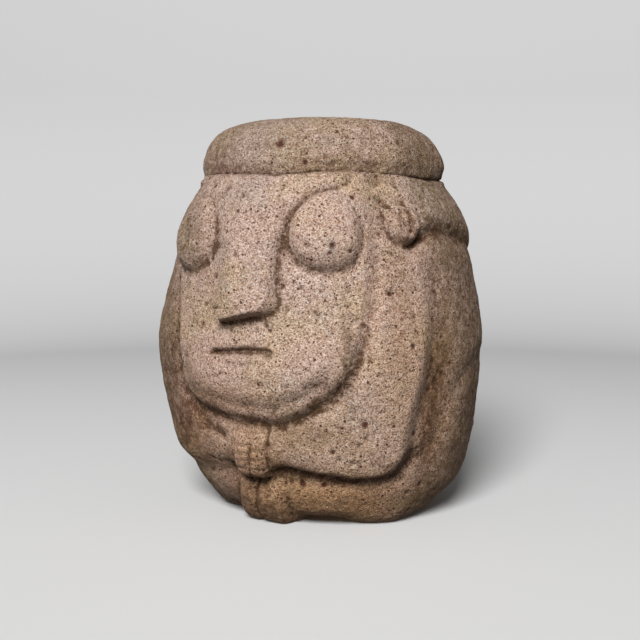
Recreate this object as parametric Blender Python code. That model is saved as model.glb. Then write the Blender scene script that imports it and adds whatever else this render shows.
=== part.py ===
"""A carved stone figure: a squat body under a large schematic face, with a thick rolled head band.

The stone is turned as a plain block, pressed into its plan, and then carved: each form is a step, a
groove or a swelling laid out on the block's own surface by angle and height.
Metres, +Z up. The figure looks along -Y and its left arm is at +X. The origin is on the ground, under
the middle of the stone.
"""

import math

import bmesh
import bpy
import numpy as np
from mathutils import Vector

# Driving dimensions of the block
HEIGHT = 0.416
WIDTH = 0.356
FRONT_DEPTH = 0.150
BACK_DEPTH = 0.161
BASE_WIDTH = 0.208
FRONT_ROUNDNESS = 1.95
BACK_ROUNDNESS = 2.20

# The head band
BAND_HEIGHT = 0.0635
BAND_WIDTH = 0.258
BAND_GROOVE = 0.0025

# Carving: how far each form stands out of the block, and how wide its rounded edge is
FACE_RELIEF = 0.0100
FACE_EDGE = 0.018
CHIN_RELIEF = 0.0100
CHIN_EDGE = 0.032
ARM_RELIEF = 0.0110
ARM_EDGE = 0.011
UPPER_ARM_EDGE = 0.024
HAIR_RELIEF = 0.0035
HAIR_EDGE = 0.016
BROW_RELIEF = 0.0050
HOLLOW_DEPTH = 0.0065
HOLLOW_WIDTH = 0.022
STEP_WIDTH = 0.0060
CREASE_DEPTH = 0.0045
CREASE_WIDTH = 0.0060

# The face
EYE_RADIUS = 0.0365
EYE_RELIEF = 0.0110
NOSE_WIDTH = 0.043
NOSE_RELIEF = 0.0140
NOSE_SLOPE = 0.0120
MOUTH_WIDTH = 0.054
MOUTH_OPENING = 0.0062
MOUTH_DEPTH = 0.0070

# The ears and their round ornaments
EAR_WIDTH = 0.044
EAR_HEIGHT = 0.058
EAR_RELIEF = 0.0100
EAR_RING_RADIUS = 0.0120
EAR_RING_RELIEF = 0.0050
TEMPLE_DEPTH = 0.0080
TEMPLE_REACH = 0.034

# The hands that meet under the chin, and the split lump below them
HAND_WIDTH = 0.031
HAND_HEIGHT = 0.052
HAND_RELIEF = 0.0050
HAND_LEAN = 0.0060
FINGER_GROOVE = 0.0026
FINGERS = 4
LUMP_RELIEF = 0.0120
LUMP_EDGE = 0.014

# The underside
ARCH_RISE = 0.0080
FOOT_SHIFT = 0.007
PAD_RELIEF = 0.010
GROUND_CUT = 0.0010

# The mesh
TURN_STEPS = 300
PROFILE_STEPS = 230
FACETS = 9400

# The block's outline from the ground up: height as a share of HEIGHT, half width as a share of WIDTH / 2.
BODY_OUTLINE = [
    (0.018, 0.650),
    (0.046, 0.730),
    (0.087, 0.823),
    (0.135, 0.885),
    (0.195, 0.935),
    (0.267, 0.965),
    (0.351, 0.985),
    (0.435, 0.997),
    (0.507, 0.980),
    (0.579, 0.947),
    (0.651, 0.913),
    (0.712, 0.880),
    (0.760, 0.835),
    (0.800, 0.780),
]
# How the depth goes with the width at each height share: in front, and behind.
DEPTH_SHARES = [
    (0.00, 1.060, 1.060),
    (0.12, 0.980, 1.045),
    (0.30, 0.980, 1.030),
    (0.48, 1.000, 1.000),
    (0.72, 1.047, 1.000),
    (0.87, 1.080, 1.030),
    (1.00, 1.080, 1.030),
]

# Lines of the carving, as (angle from the front in degrees, height share), on the figure's left side.
FACE_LINE = [
    (48.0, 0.860),
    (46.0, 0.800),
    (43.5, 0.735),
    (42.5, 0.690),
    (40.5, 0.604),
    (37.5, 0.515),
    (36.0, 0.470),
    (33.2, 0.413),
    (29.6, 0.366),
    (24.5, 0.331),
    (17.3, 0.296),
    (9.0, 0.277),
    (0.0, 0.278),
]
FACE_LINE_RIGHT = [
    (-11.0, 0.285),
    (-19.5, 0.299),
    (-25.5, 0.322),
    (-29.0, 0.360),
    (-30.0, 0.410),
    (-31.0, 0.460),
    (-34.0, 0.530),
    (-39.5, 0.629),
    (-42.5, 0.690),
    (-43.5, 0.735),
    (-46.0, 0.800),
    (-48.0, 0.860),
]
BROW_LINE = [
    (43.0, 0.870),
    (35.0, 0.822),
    (28.5, 0.808),
    (23.0, 0.797),
    (18.4, 0.782),
    (14.5, 0.754),
    (12.0, 0.720),
    (10.2, 0.680),
    (9.0, 0.640),
    (8.0, 0.590),
]
ARM_LINE = [
    (62.0, 0.740),
    (64.0, 0.640),
    (64.0, 0.560),
    (62.5, 0.490),
    (60.0, 0.420),
    (59.0, 0.360),
    (57.5, 0.300),
    (55.5, 0.250),
    (55.0, 0.200),
    (52.0, 0.160),
    (46.0, 0.140),
    (37.5, 0.134),
    (27.0, 0.143),
    (17.5, 0.152),
    (9.5, 0.160),
    (6.0, 0.150),
    (3.5, 0.137),
]
HAIR_LINE = [
    (60.0, 0.690),
    (66.5, 0.706),
    (72.0, 0.720),
    (78.0, 0.720),
    (84.0, 0.716),
    (99.0, 0.699),
    (115.0, 0.675),
    (140.0, 0.645),
    (180.0, 0.630),
]
HAUNCH_LINE = [
    (180.0, 0.330),
    (150.0, 0.385),
    (120.0, 0.410),
    (98.0, 0.400),
    (84.5, 0.374),
    (79.0, 0.344),
    (75.2, 0.305),
    (72.5, 0.263),
    (69.5, 0.220),
    (65.0, 0.188),
    (58.0, 0.165),
]

LUMP_LINE = [
    (-10.0, 0.150),
    (-12.0, 0.100),
    (-17.0, 0.060),
    (-25.0, 0.020),
    (-30.0, -0.040),
    (8.0, -0.040),
    (7.0, 0.010),
    (7.5, 0.050),
    (8.5, 0.100),
    (9.0, 0.150),
]
LUMP_SPLIT = [(-1.5, 0.125), (-5.0, 0.074), (-10.0, 0.005)]

EYE_PLACES = [(26.3, 0.712), (-28.8, 0.706)]
NOSE_FOOT = 0.518
NOSE_ROOT = 0.760
MOUTH_PLACE = (-2.0, 0.437)
EAR_PLACES = {1: (57.5, 0.742), -1: (76.5, 0.742)}
HOLLOW_PLACE = (68.0, 0.320)
HOLLOW_HEIGHT = 0.15
HAND_PLACE = (-0.4, 0.198)
ARCHES = [(26.0, 17.0), (-30.0, 13.0)]
FOOT_PADS = [(60.0, 17.0), (-62.0, 17.0)]
# Broad swellings and dents that make the stone uneven: the angle, then the level, reach and amount
# as shares of HEIGHT.
SWELLS = [
    (-60.0, 0.960, 0.120, 0.0096),
    (100.0, 0.980, 0.144, -0.0120),
    (110.0, 0.270, 0.144, -0.0084),
    (-62.0, 0.155, 0.072, -0.0216),
    (-64.0, 0.430, 0.168, 0.0072),
    (115.0, 0.080, 0.144, 0.0072),
]


def smooth(x):
    """0 up to x = 0, 1 from x = 1 on, with no corner between."""
    x = np.clip(x, 0.0, 1.0)
    return x * x * (3.0 - 2.0 * x)


def bump(x):
    """A bell that is 1 at x = 0 and almost nothing past x = 2."""
    return np.exp(-x * x)


def curve_through(points, steps=8):
    """A smooth line through the points, with steps pieces between neighbours."""
    points = [Vector((*p, 0.0)) for p in points]
    ends = [2 * points[0] - points[1], *points, 2 * points[-1] - points[-2]]
    line = []
    for before, start, end, after in zip(ends, ends[1:], ends[2:], ends[3:]):
        for i in range(steps):
            t = i / steps
            spot = 0.5 * (
                2 * start
                + (end - before) * t
                + (2 * before - 5 * start + 4 * end - after) * t**2
                + (3 * start - before - 3 * end + after) * t**3
            )
            line.append((spot.x, spot.y))
    line.append((points[-1].x, points[-1].y))
    return line


class Chart:
    """The block's surface unrolled: across is the distance round from the front, up is the height."""

    def __init__(self, angle, height):
        self.round = 0.45 * WIDTH
        self.angle = angle
        self.across = angle * self.round
        self.up = height

    def place(self, degrees, share):
        """The chart's across and up for an angle and a height share."""
        return math.radians(degrees) * self.round, share * HEIGHT

    def line(self, points, mirrored=False):
        side = -1.0 if mirrored else 1.0
        return [self.place(side * degrees, share) for degrees, share in curve_through(points)]

    def distance(self, line):
        """How far each spot is from a line."""
        nearest = np.full(self.up.shape, np.inf)
        for (ax, ay), (bx, by) in zip(line, line[1:]):
            dx, dy = bx - ax, by - ay
            along = ((self.across - ax) * dx + (self.up - ay) * dy) / (dx * dx + dy * dy)
            along = np.clip(along, 0.0, 1.0)
            gap = np.hypot(self.across - ax - along * dx, self.up - ay - along * dy)
            nearest = np.minimum(nearest, gap)
        return nearest

    def inside(self, outline):
        """How far each spot is inside a closed outline; less than nothing outside it."""
        within = np.zeros(self.up.shape, bool)
        for (ax, ay), (bx, by) in zip(outline, outline[1:] + outline[:1]):
            if ay == by:
                continue
            crosses = (ay > self.up) != (by > self.up)
            within ^= crosses & (self.across < ax + (self.up - ay) / (by - ay) * (bx - ax))
        gap = self.distance(outline + outline[:1])
        return np.where(within, gap, -gap)

    def from_place(self, degrees, share):
        """Across and up from a place on the chart."""
        across, up = self.place(degrees, share)
        return self.across - across, self.up - up


def rounded_edge(inside, width, power=2.4):
    """A plate's height: nothing at its outline, 1 from width inside it, over a rounded shoulder."""
    return 1.0 - (1.0 - np.clip(inside / width, 0.0, 1.0)) ** power


def edge_of(chart, line, closing):
    """How far each spot is inside a form that is bounded by a line, and how far from the line."""
    return chart.inside([*line, *closing]), chart.distance(line)


def carve_hair(chart):
    """A smooth fall of hair behind the ears, down to the nape, with a crease under it."""
    relief = np.zeros(chart.up.shape)
    for mirrored in (False, True):
        edge = chart.line(HAIR_LINE, mirrored)
        closing = [(edge[-1][0], HEIGHT), (edge[0][0], HEIGHT)]
        inside, gap = edge_of(chart, edge, closing)
        relief += HAIR_RELIEF * rounded_edge(np.where(inside > 0, gap, 0.0), HAIR_EDGE)
        fading = 1.0 - 0.7 * smooth((np.degrees(np.abs(chart.angle)) - 74.0) / 14.0)
        relief -= CREASE_DEPTH * fading * bump(gap / (1.3 * CREASE_WIDTH))
    return relief


def carve_haunches(chart):
    """The crease over each folded leg, and the hollow between the leg and the elbow."""
    relief = np.zeros(chart.up.shape)
    for side in (1, -1):
        gap = chart.distance(chart.line(HAUNCH_LINE, side < 0))
        sharp = bump((chart.up - 0.175 * HEIGHT) / (0.06 * HEIGHT))
        relief -= CREASE_DEPTH * (0.5 + 0.5 * sharp) * bump(gap / (CREASE_WIDTH * (2.0 - sharp)))
        across, up = chart.from_place(side * HOLLOW_PLACE[0], HOLLOW_PLACE[1])
        reach = np.hypot(across / HOLLOW_WIDTH, up / (HOLLOW_HEIGHT * HEIGHT))
        relief -= HOLLOW_DEPTH * bump(reach)
    return relief


def carve_arms(chart):
    """Both arms: down beside the face, bent at the elbow, with the forearms meeting in front."""
    left = chart.line(ARM_LINE)
    right = chart.line(ARM_LINE, mirrored=True)
    inside = chart.inside([*left, *reversed(right)])
    fade = smooth((0.74 * HEIGHT - chart.up) / (0.36 * HEIGHT))
    under = smooth((0.22 * HEIGHT - chart.up) / (0.06 * HEIGHT))
    worn = smooth((-chart.across - HAND_WIDTH / 2) / HAND_WIDTH)
    crease = CREASE_DEPTH * bump(0.6 + inside / (1.2 * CREASE_WIDTH)) * under * (0.8 - 0.7 * worn)
    shape = rounded_edge(inside, ARM_EDGE)
    shape += np.maximum(1.0 - under, worn) * (smooth(0.4 + inside / UPPER_ARM_EDGE) - shape)
    return ARM_RELIEF * fade * (1.0 - 0.3 * worn) * shape - crease


def face_edge(chart):
    """How far each spot is inside the face."""
    return chart.inside(chart.line(FACE_LINE) + chart.line(FACE_LINE_RIGHT))


def carve_face(chart, inside):
    """The face stands out as one plate with a rounded edge and a crease round its lower part."""
    high = smooth((chart.up - 0.42 * HEIGHT) / (0.25 * HEIGHT))
    chin = smooth((0.50 * HEIGHT - chart.up) / (0.12 * HEIGHT))
    width = FACE_EDGE * (1.0 + 1.2 * high) + (CHIN_EDGE - FACE_EDGE) * chin
    shape = rounded_edge(inside, width, 2.4 - 0.4 * chin)
    shape += high * (smooth(0.35 + inside / width) - shape)
    plate = (FACE_RELIEF + CHIN_RELIEF * chin) * shape
    crease = CREASE_DEPTH * (1.0 + 0.2 * chin) * bump(0.5 + inside / (1.5 * CREASE_WIDTH))
    low = 0.3 + 0.7 * smooth((0.80 * HEIGHT - chart.up) / (0.45 * HEIGHT))
    return plate - crease * low


def carve_brow_and_nose(chart):
    """The forehead and the nose are one raised form that narrows downwards between the eyes."""
    left = chart.line(BROW_LINE)
    foot = NOSE_FOOT * HEIGHT
    half = NOSE_WIDTH / 2
    left += [(half, foot + 0.25 * NOSE_WIDTH), (half, foot)]
    right = [(-across, up) for across, up in reversed(left)]
    top = [(-left[0][0], HEIGHT), (left[0][0], HEIGHT)]
    inside = chart.inside([*left, *right, *top])
    down = smooth((NOSE_ROOT * HEIGHT - chart.up) / ((NOSE_ROOT - NOSE_FOOT) * HEIGHT))
    height = BROW_RELIEF + (NOSE_RELIEF - BROW_RELIEF) * down
    worn = np.where(chart.across > 0, 1.0, 3.2)
    slope = worn * (STEP_WIDTH + (NOSE_SLOPE - STEP_WIDTH) * down)
    slope = np.where(chart.up > foot + 0.5 * NOSE_SLOPE, slope, STEP_WIDTH)
    return height * smooth(0.5 + inside / slope)


def carve_eyes(chart):
    """Two large round eyes that bulge out, clearest at their lower rims."""
    relief = np.zeros(chart.up.shape)
    for place in EYE_PLACES:
        across, up = chart.from_place(*place)
        reach = np.hypot(across, up) / EYE_RADIUS
        dome = np.clip(1.0 - reach**3.6, 0.0, None)
        lower = 0.85 - 0.15 * np.clip(up / EYE_RADIUS, -1.0, 1.0)
        rim = np.hypot(across, up) - EYE_RADIUS
        relief += EYE_RELIEF * lower * dome
        relief -= 0.5 * CREASE_DEPTH * lower * bump(rim / CREASE_WIDTH - 0.6)
    return relief


def carve_mouth(chart):
    """A straight slit over a slight lower lip."""
    across, up = chart.from_place(*MOUTH_PLACE)
    past_end = np.clip(np.abs(across) - (MOUTH_WIDTH - MOUTH_OPENING) / 2, 0.0, None)
    slit = MOUTH_DEPTH * bump(np.hypot(past_end, up) / (MOUTH_OPENING / 2))
    lip = bump((up + 1.6 * MOUTH_OPENING) / (1.2 * MOUTH_OPENING)) * bump(across / (MOUTH_WIDTH / 2)) ** 2
    return 0.3 * MOUTH_DEPTH * lip - slit


def carve_ears(chart):
    """Each ear is a low oval boss in a hollow, and carries a round ring with a sunk middle."""
    relief = np.zeros(chart.up.shape)
    for side, (degrees, share) in EAR_PLACES.items():
        across, up = chart.from_place(side * degrees, share)
        across = side * across
        reach = np.hypot(across / (EAR_WIDTH / 2), up / (EAR_HEIGHT / 2))
        relief += EAR_RELIEF * np.clip(1.0 - reach**4, 0.0, None)
        ring = np.hypot(across + 0.04 * EAR_WIDTH, up)
        relief += EAR_RING_RELIEF * bump((ring - EAR_RING_RADIUS) / (0.4 * EAR_RING_RADIUS))
        relief -= 0.6 * EAR_RING_RELIEF * bump(ring / (0.5 * EAR_RING_RADIUS))
        relief -= TEMPLE_DEPTH * bump(np.hypot(across, up) / TEMPLE_REACH) ** 2
    return relief


def carve_hands(chart):
    """Two fists side by side under the chin, each with its fingers marked by short grooves."""
    across, up = chart.from_place(*HAND_PLACE)
    box = np.maximum(np.abs(across) - HAND_WIDTH / 2, np.abs(up) - HAND_HEIGHT / 2)
    relief = (HAND_RELIEF - HAND_LEAN * up / HAND_HEIGHT) * smooth(0.5 - box / STEP_WIDTH)
    groove = FINGER_GROOVE / 2
    within = smooth(-box / groove)
    fingers_top = 0.22 * HAND_HEIGHT
    finger = (fingers_top + HAND_HEIGHT / 2) / FINGERS
    relief -= FINGER_GROOVE * within * bump(across / groove) * smooth((fingers_top - up) / groove)
    for side in (1, -1):
        fist = smooth(side * across / groove)
        for number in range(FINGERS):
            level = fingers_top - (number + (side < 0) * 0.3) * finger
            relief -= FINGER_GROOVE * within * fist * bump((up - level) / groove)
    return relief


def carve_lump(chart):
    """A short split lump that hangs from the hands to the ground."""
    inside = chart.inside([chart.place(*spot) for spot in LUMP_LINE])
    under_hands = HAND_PLACE[1] * HEIGHT - HAND_HEIGHT / 2
    out = 0.25 + 0.75 * smooth((under_hands - chart.up) / (0.7 * under_hands))
    split = bump(chart.distance(chart.line(LUMP_SPLIT)) / FINGER_GROOVE)
    return LUMP_RELIEF * out * rounded_edge(inside, LUMP_EDGE) - 1.6 * FINGER_GROOVE * split


def carve_swells(chart):
    """Slight unevenness of the whole stone."""
    relief = np.zeros(chart.up.shape)
    for degrees, share, reach, amount in SWELLS:
        across, up = chart.from_place(degrees, share)
        relief += amount * HEIGHT * bump(np.hypot(across, up) / (reach * HEIGHT))
    return relief


def relief_of(chart):
    """All the carving, as a distance out of the block."""
    inside_face = face_edge(chart)
    on_face = smooth(inside_face / FACE_EDGE)
    face = carve_brow_and_nose(chart) + carve_eyes(chart) + carve_mouth(chart)
    body = carve_arms(chart) + carve_haunches(chart) + carve_hair(chart) + carve_ears(chart)
    body += carve_hands(chart) + carve_lump(chart)
    relief = carve_face(chart, inside_face) + face * on_face + body * (1 - on_face)
    relief *= smooth((HEIGHT - BAND_HEIGHT - chart.up) / STEP_WIDTH)
    return relief + carve_swells(chart)


def block_profile():
    """Half the block's outline, from the middle of its underside to the middle of its top."""
    half = WIDTH / 2
    band = BAND_WIDTH / 2
    groove = HEIGHT - BAND_HEIGHT
    knots = [(0.0, 0.0), (0.85 * BASE_WIDTH / 2, 0.0), (BASE_WIDTH / 2, 0.005 * HEIGHT)]
    knots += [(half * share, HEIGHT * level) for level, share in BODY_OUTLINE]
    knots += [
        (band - BAND_GROOVE, groove),
        (band - 0.3 * BAND_GROOVE, groove + 0.06 * BAND_HEIGHT),
        (band, groove + 0.20 * BAND_HEIGHT),
        (band - 0.012 * BAND_WIDTH, groove + 0.42 * BAND_HEIGHT),
        (band - 0.034 * BAND_WIDTH, groove + 0.61 * BAND_HEIGHT),
        (band - 0.074 * BAND_WIDTH, groove + 0.79 * BAND_HEIGHT),
        (band - 0.140 * BAND_WIDTH, groove + 0.92 * BAND_HEIGHT),
        (band - 0.240 * BAND_WIDTH, groove + 0.985 * BAND_HEIGHT),
        (0.0, HEIGHT),
    ]
    fine = np.array(curve_through(knots, steps=24))
    steps = np.hypot(*np.diff(fine, axis=0).T)
    along = np.concatenate([[0.0], np.cumsum(steps)])
    even = np.linspace(0.0, along[-1], PROFILE_STEPS + 1)
    across = np.clip(np.interp(even, along, fine[:, 0]), 0.0, None)
    up = np.clip(np.interp(even, along, fine[:, 1]), 0.0, HEIGHT)
    across[0] = across[-1] = 0.0
    return list(zip(across, up))


def turned_block():
    """The profile spun round the upright axis, as one closed surface."""
    bm = bmesh.new()
    profile = [bm.verts.new((0.0, -across, up)) for across, up in block_profile()]
    edges = [bm.edges.new(pair) for pair in zip(profile, profile[1:])]
    bmesh.ops.spin(
        bm,
        geom=profile + edges,
        cent=(0.0, 0.0, 0.0),
        axis=(0.0, 0.0, 1.0),
        angle=math.tau,
        steps=TURN_STEPS,
        use_merge=True,
        use_duplicate=False,
    )
    bmesh.ops.remove_doubles(bm, verts=bm.verts, dist=1e-5)
    bmesh.ops.recalc_face_normals(bm, faces=bm.faces)
    return bm


def pressed_to_plan(points, angle):
    """The round block pressed into its plan, with its foot a little to the left."""
    radius = np.hypot(points[:, 0], points[:, 1])
    up = points[:, 2]
    share = up / HEIGHT
    levels, front, back = (np.array(column) for column in zip(*DEPTH_SHARES))
    sine, cosine = np.sin(angle), np.cos(angle)
    power = np.where(cosine > 0, FRONT_ROUNDNESS, BACK_ROUNDNESS)
    swell = (np.abs(sine) ** power + np.abs(cosine) ** power) ** (-1 / power)
    ahead = np.interp(share, levels, front) * FRONT_DEPTH / (WIDTH / 2)
    behind = np.interp(share, levels, back) * BACK_DEPTH / (WIDTH / 2)
    depth = np.where(cosine > 0, ahead, behind)
    shift = FOOT_SHIFT * smooth((0.20 - share) / 0.20)
    pressed = np.empty_like(points)
    pressed[:, 0] = radius * swell * sine + shift
    pressed[:, 1] = -radius * swell * cosine * depth
    pressed[:, 2] = up
    return pressed


def underside_lift(points, angle):
    """How far the underside is off the ground: shallow arches each side of the strip."""
    lift = np.zeros(len(points))
    degrees = np.degrees(angle)
    reach = np.hypot(points[:, 0], points[:, 1]) / (BASE_WIDTH / 2)
    for middle, half in ARCHES:
        lift += bump((degrees - middle) / half) ** 2 * smooth((reach - 0.45) / 0.4)
    return ARCH_RISE * lift


def carved_points(points, pressed, normals, angle):
    """Every point of the pressed block, moved to its place on the finished figure."""
    chart = Chart(angle, points[:, 2])
    upright = 1.0 - np.abs(normals[:, 2]) ** 3
    out = relief_of(chart) * upright
    pads = sum(bump((np.degrees(angle) - middle) / half) for middle, half in FOOT_PADS)
    out += PAD_RELIEF * pads * smooth(1.0 - points[:, 2] / (0.09 * HEIGHT)) * upright
    carved = pressed + normals * out[:, None]
    carved[:, 2] = np.clip(carved[:, 2], 0.0, HEIGHT)
    lift = underside_lift(points, angle) - GROUND_CUT
    carved[:, 2] += lift * smooth(1.0 - carved[:, 2] / (2.5 * ARCH_RISE))
    carved[:, :2] -= (carved[:, :2].min(axis=0) + carved[:, :2].max(axis=0)) / 2
    return carved


def stone_material():
    """Coarse pinkish volcanic stone."""
    material = bpy.data.materials.new("volcanic_stone")
    material.use_nodes = True
    shader = material.node_tree.nodes["Principled BSDF"]
    shader.inputs["Base Color"].default_value = (0.44, 0.33, 0.25, 1.0)
    shader.inputs["Roughness"].default_value = 0.95
    shader.inputs["Metallic"].default_value = 0.0
    return material


def move(bm, spots):
    for vertex, spot in zip(bm.verts, spots):
        vertex.co = spot


def stone_figure():
    """The whole figure: one stone, in one piece."""
    bm = turned_block()
    points = np.array([v.co[:] for v in bm.verts])
    angle = np.arctan2(points[:, 0], -points[:, 1])
    pressed = pressed_to_plan(points, angle)
    move(bm, pressed)
    bm.normal_update()
    normals = np.array([v.normal[:] for v in bm.verts])
    move(bm, carved_points(points, pressed, normals, angle))
    mesh = bpy.data.meshes.new("stone_figure")
    bm.to_mesh(mesh)
    bm.free()
    mesh.shade_smooth()
    figure = bpy.data.objects.new("stone_figure", mesh)
    figure.data.materials.append(stone_material())
    return figure


def ground_cutter():
    """A slab under the ground, which leaves the resting faces flat and level."""
    bm = bmesh.new()
    bmesh.ops.create_cube(bm, size=2 * WIDTH)
    bmesh.ops.translate(bm, verts=bm.verts, vec=(0.0, 0.0, -WIDTH))
    mesh = bpy.data.meshes.new("ground_cutter")
    bm.to_mesh(mesh)
    bm.free()
    cutter = bpy.data.objects.new("ground_cutter", mesh)
    cutter.hide_render = True
    cutter.display_type = "WIRE"
    return cutter


def collection(name):
    made = bpy.data.collections.new(name)
    bpy.context.scene.collection.children.link(made)
    return made


def main():
    for old in list(bpy.data.objects):
        bpy.data.objects.remove(old)
    figure = stone_figure()
    cutter = ground_cutter()
    collection("stone_sculpture").objects.link(figure)
    collection("cutters").objects.link(cutter)
    facets = figure.modifiers.new("facets", "DECIMATE")
    facets.ratio = FACETS / (2 * TURN_STEPS * PROFILE_STEPS)
    ground = figure.modifiers.new("ground", "BOOLEAN")
    ground.operation = "DIFFERENCE"
    ground.solver = "EXACT"
    ground.object = cutter


main()
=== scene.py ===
import math

import bmesh
import bpy
import numpy as np
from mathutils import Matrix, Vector, kdtree, noise


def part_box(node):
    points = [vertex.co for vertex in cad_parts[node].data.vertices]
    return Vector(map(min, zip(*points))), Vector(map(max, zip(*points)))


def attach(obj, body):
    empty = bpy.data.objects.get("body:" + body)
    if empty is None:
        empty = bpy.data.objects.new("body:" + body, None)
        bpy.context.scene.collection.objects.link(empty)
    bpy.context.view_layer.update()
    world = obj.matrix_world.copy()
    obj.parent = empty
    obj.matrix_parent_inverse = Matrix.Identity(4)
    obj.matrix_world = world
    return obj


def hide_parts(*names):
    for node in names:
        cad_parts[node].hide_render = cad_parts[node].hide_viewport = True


bl_info = {
    "name": "Carved Stone Figure",
    "version": (1, 0, 0),
    "blender": (4, 5, 0),
    "location": "View3D > Sidebar > Stone Figure",
    "description": "A squat stone figure with a large carved face, and a plain studio round it",
    "category": "Object",
}

# Metres, +Z up. The figure looks along -Y and its left arm is at +X.
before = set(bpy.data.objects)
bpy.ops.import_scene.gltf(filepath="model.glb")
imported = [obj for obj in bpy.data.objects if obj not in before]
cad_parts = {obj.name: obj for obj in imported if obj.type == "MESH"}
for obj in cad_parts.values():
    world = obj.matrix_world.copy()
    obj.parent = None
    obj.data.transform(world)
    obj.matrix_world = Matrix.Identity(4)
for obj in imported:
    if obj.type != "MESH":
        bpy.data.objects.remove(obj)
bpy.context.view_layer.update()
STONE_LOW, STONE_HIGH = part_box("stone_figure")
STONE_SIZE = STONE_HIGH - STONE_LOW

# The block: how deep it is in front and behind, how round its plan is, and the band's groove.
FRONT_DEPTH = 0.150
BACK_DEPTH = 0.161
BASE_WIDTH = 0.208
FRONT_ROUNDNESS = 1.95
BACK_ROUNDNESS = 2.20
BAND_GROOVE = 0.0050
GROOVE_FILLED = 0.0055
GROOVE_REACH = 0.0060
GROOVE_DROP = 0.001
# The height share at which the foot's rounding ends.
FOOT_ROUNDING = 0.005

# Widths and small depths of the carving, in metres. The face's fillet is a share of its edge, the
# hollow's height one of the figure's, the eyes' crease one of a full crease, and the hands' slant
# goes with their height.
FACE_EDGE = 0.018
FACE_FILLET = 0.08
CHIN_RELIEF = 0.0100
CHIN_EDGE = 0.032
ARM_EDGE = 0.011
UPPER_ARM_EDGE = 0.024
HAIR_EDGE = 0.016
HOLLOW_DEPTH = 0.0065
HOLLOW_WIDTH = 0.022
HOLLOW_HEIGHT = 0.15
STEP_WIDTH = 0.0060
CREASE_WIDTH = 0.0060
NOSE_SLOPE = 0.0120
NOSE_WIDTH = 0.043
FOOT_STEP = 0.0040
BROW_GROOVE = 0.0036
EYE_CREASE = 0.45
MOUTH_OPENING = 0.0066
LIP_CREASE = 0.0010
EAR_WIDTH = 0.046
EAR_HEIGHT = 0.060
EAR_ROLL = 0.0045
EAR_LOBE_RELIEF = 0.0060
EAR_KNOB_RADIUS = 0.0032
EAR_KNOB_RELIEF = 0.0017
EAR_CLEFT_DEPTH = 0.0050
EAR_HOLE_DEPTH = 0.0026
# The far ear is this many degrees further back, and this share of its knobs and holes is left.
FAR_EAR_BACK = 19.0
FAR_EAR_SHARE = 0.5
TEMPLE_DEPTH = 0.0080
TEMPLE_REACH = 0.034
HAND_WIDTH = 0.031
HAND_SLANT = 0.12
HAND_HEIGHT = 0.052
HAND_LEAN = 0.0060
FINGER_GROOVE = 0.0022
LUMP_EDGE = 0.014
ARCH_RISE = 0.0080
FOOT_SHIFT = 0.007
PAD_RELIEF = 0.010
GROUND_CUT = 0.0010

# The mesh is finest on the side that most of the carving faces, and is then thinned where plain.
TURN_STEPS = 540
PROFILE_STEPS = 470
FINE_SIDE = math.radians(24.0)
FINE_SHARE = 0.30
# The share of steps that the flat underside and top get.
FLAT_SHARE = 0.30
TRIANGLES = 194000

# The block's outline from the ground up: height as a share of the height, and half width as a
# share of half the width.
BODY_OUTLINE = [
    (0.018, 0.65), (0.046, 0.73), (0.087, 0.823), (0.135, 0.885), (0.195, 0.935), (0.267, 0.965),
    (0.351, 0.985), (0.435, 0.997), (0.507, 0.98), (0.579, 0.947), (0.651, 0.913), (0.712, 0.88),
    (0.76, 0.835), (0.8, 0.78),
]
# How the depth goes with the width at each height share: in front, and behind.
DEPTH_SHARES = [
    (0.0, 1.06, 1.06), (0.12, 0.98, 1.045), (0.3, 0.98, 1.03), (0.48, 1.0, 1.0),
    (0.72, 1.047, 1.0), (0.87, 1.08, 1.03), (1.0, 1.08, 1.03),
]
# How the lower edge of the band wanders: angle from the front in degrees, rise in metres.
BAND_EDGE = [
    (-180.0, 0.001), (-120.0, -0.002), (-70.0, 0.0), (-50.0, 0.003), (-30.0, 0.0036),
    (-10.0, 0.002), (5.0, 0.0), (20.0, 0.0018), (34.0, 0.004), (46.0, 0.002), (64.0, 0.0),
    (84.0, -0.003), (110.0, -0.0015), (150.0, 0.0015), (180.0, 0.001),
]

# Lines of the carving, as angle from the front in degrees and height share. More is to the
# figure's left; the paired lines are mirrored for its right side.
FACE_LINE = [
    (48.0, 0.86), (46.0, 0.8), (43.5, 0.735), (42.5, 0.69), (40.5, 0.604), (37.5, 0.515),
    (36.0, 0.47), (33.2, 0.413), (29.6, 0.366), (24.5, 0.331), (17.3, 0.296), (9.0, 0.277),
    (0.0, 0.278),
]
FACE_LINE_RIGHT = [
    (-11.0, 0.285), (-19.5, 0.299), (-25.5, 0.322), (-29.0, 0.36), (-30.0, 0.41), (-31.0, 0.46),
    (-34.0, 0.53), (-39.5, 0.629), (-42.5, 0.69), (-43.5, 0.735), (-46.0, 0.8), (-48.0, 0.86),
]
BROW_LINE = [
    (43.0, 0.87), (35.0, 0.822), (28.5, 0.808), (23.0, 0.797), (18.4, 0.782), (14.5, 0.754),
    (12.0, 0.72), (10.2, 0.68), (9.0, 0.64), (8.6, 0.59), (9.0, 0.552),
]
NOSE_FOOT_LINE = [(8.0, 0.534), (5.5, 0.525), (2.0, 0.520), (-3.0, 0.514), (-8.4, 0.508)]
ARM_LINE = [
    (62.0, 0.74), (64.0, 0.64), (64.0, 0.56), (62.5, 0.49), (60.0, 0.42), (59.0, 0.36),
    (57.5, 0.3), (55.5, 0.25), (55.0, 0.2), (52.0, 0.16), (46.0, 0.14), (37.5, 0.134),
    (27.0, 0.143), (17.5, 0.152), (9.5, 0.16), (6.0, 0.15), (3.5, 0.137),
]
SLEEVE_LINE = [(-31.0, 0.315), (-26.5, 0.290), (-18.6, 0.253), (-11.7, 0.233)]
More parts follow.
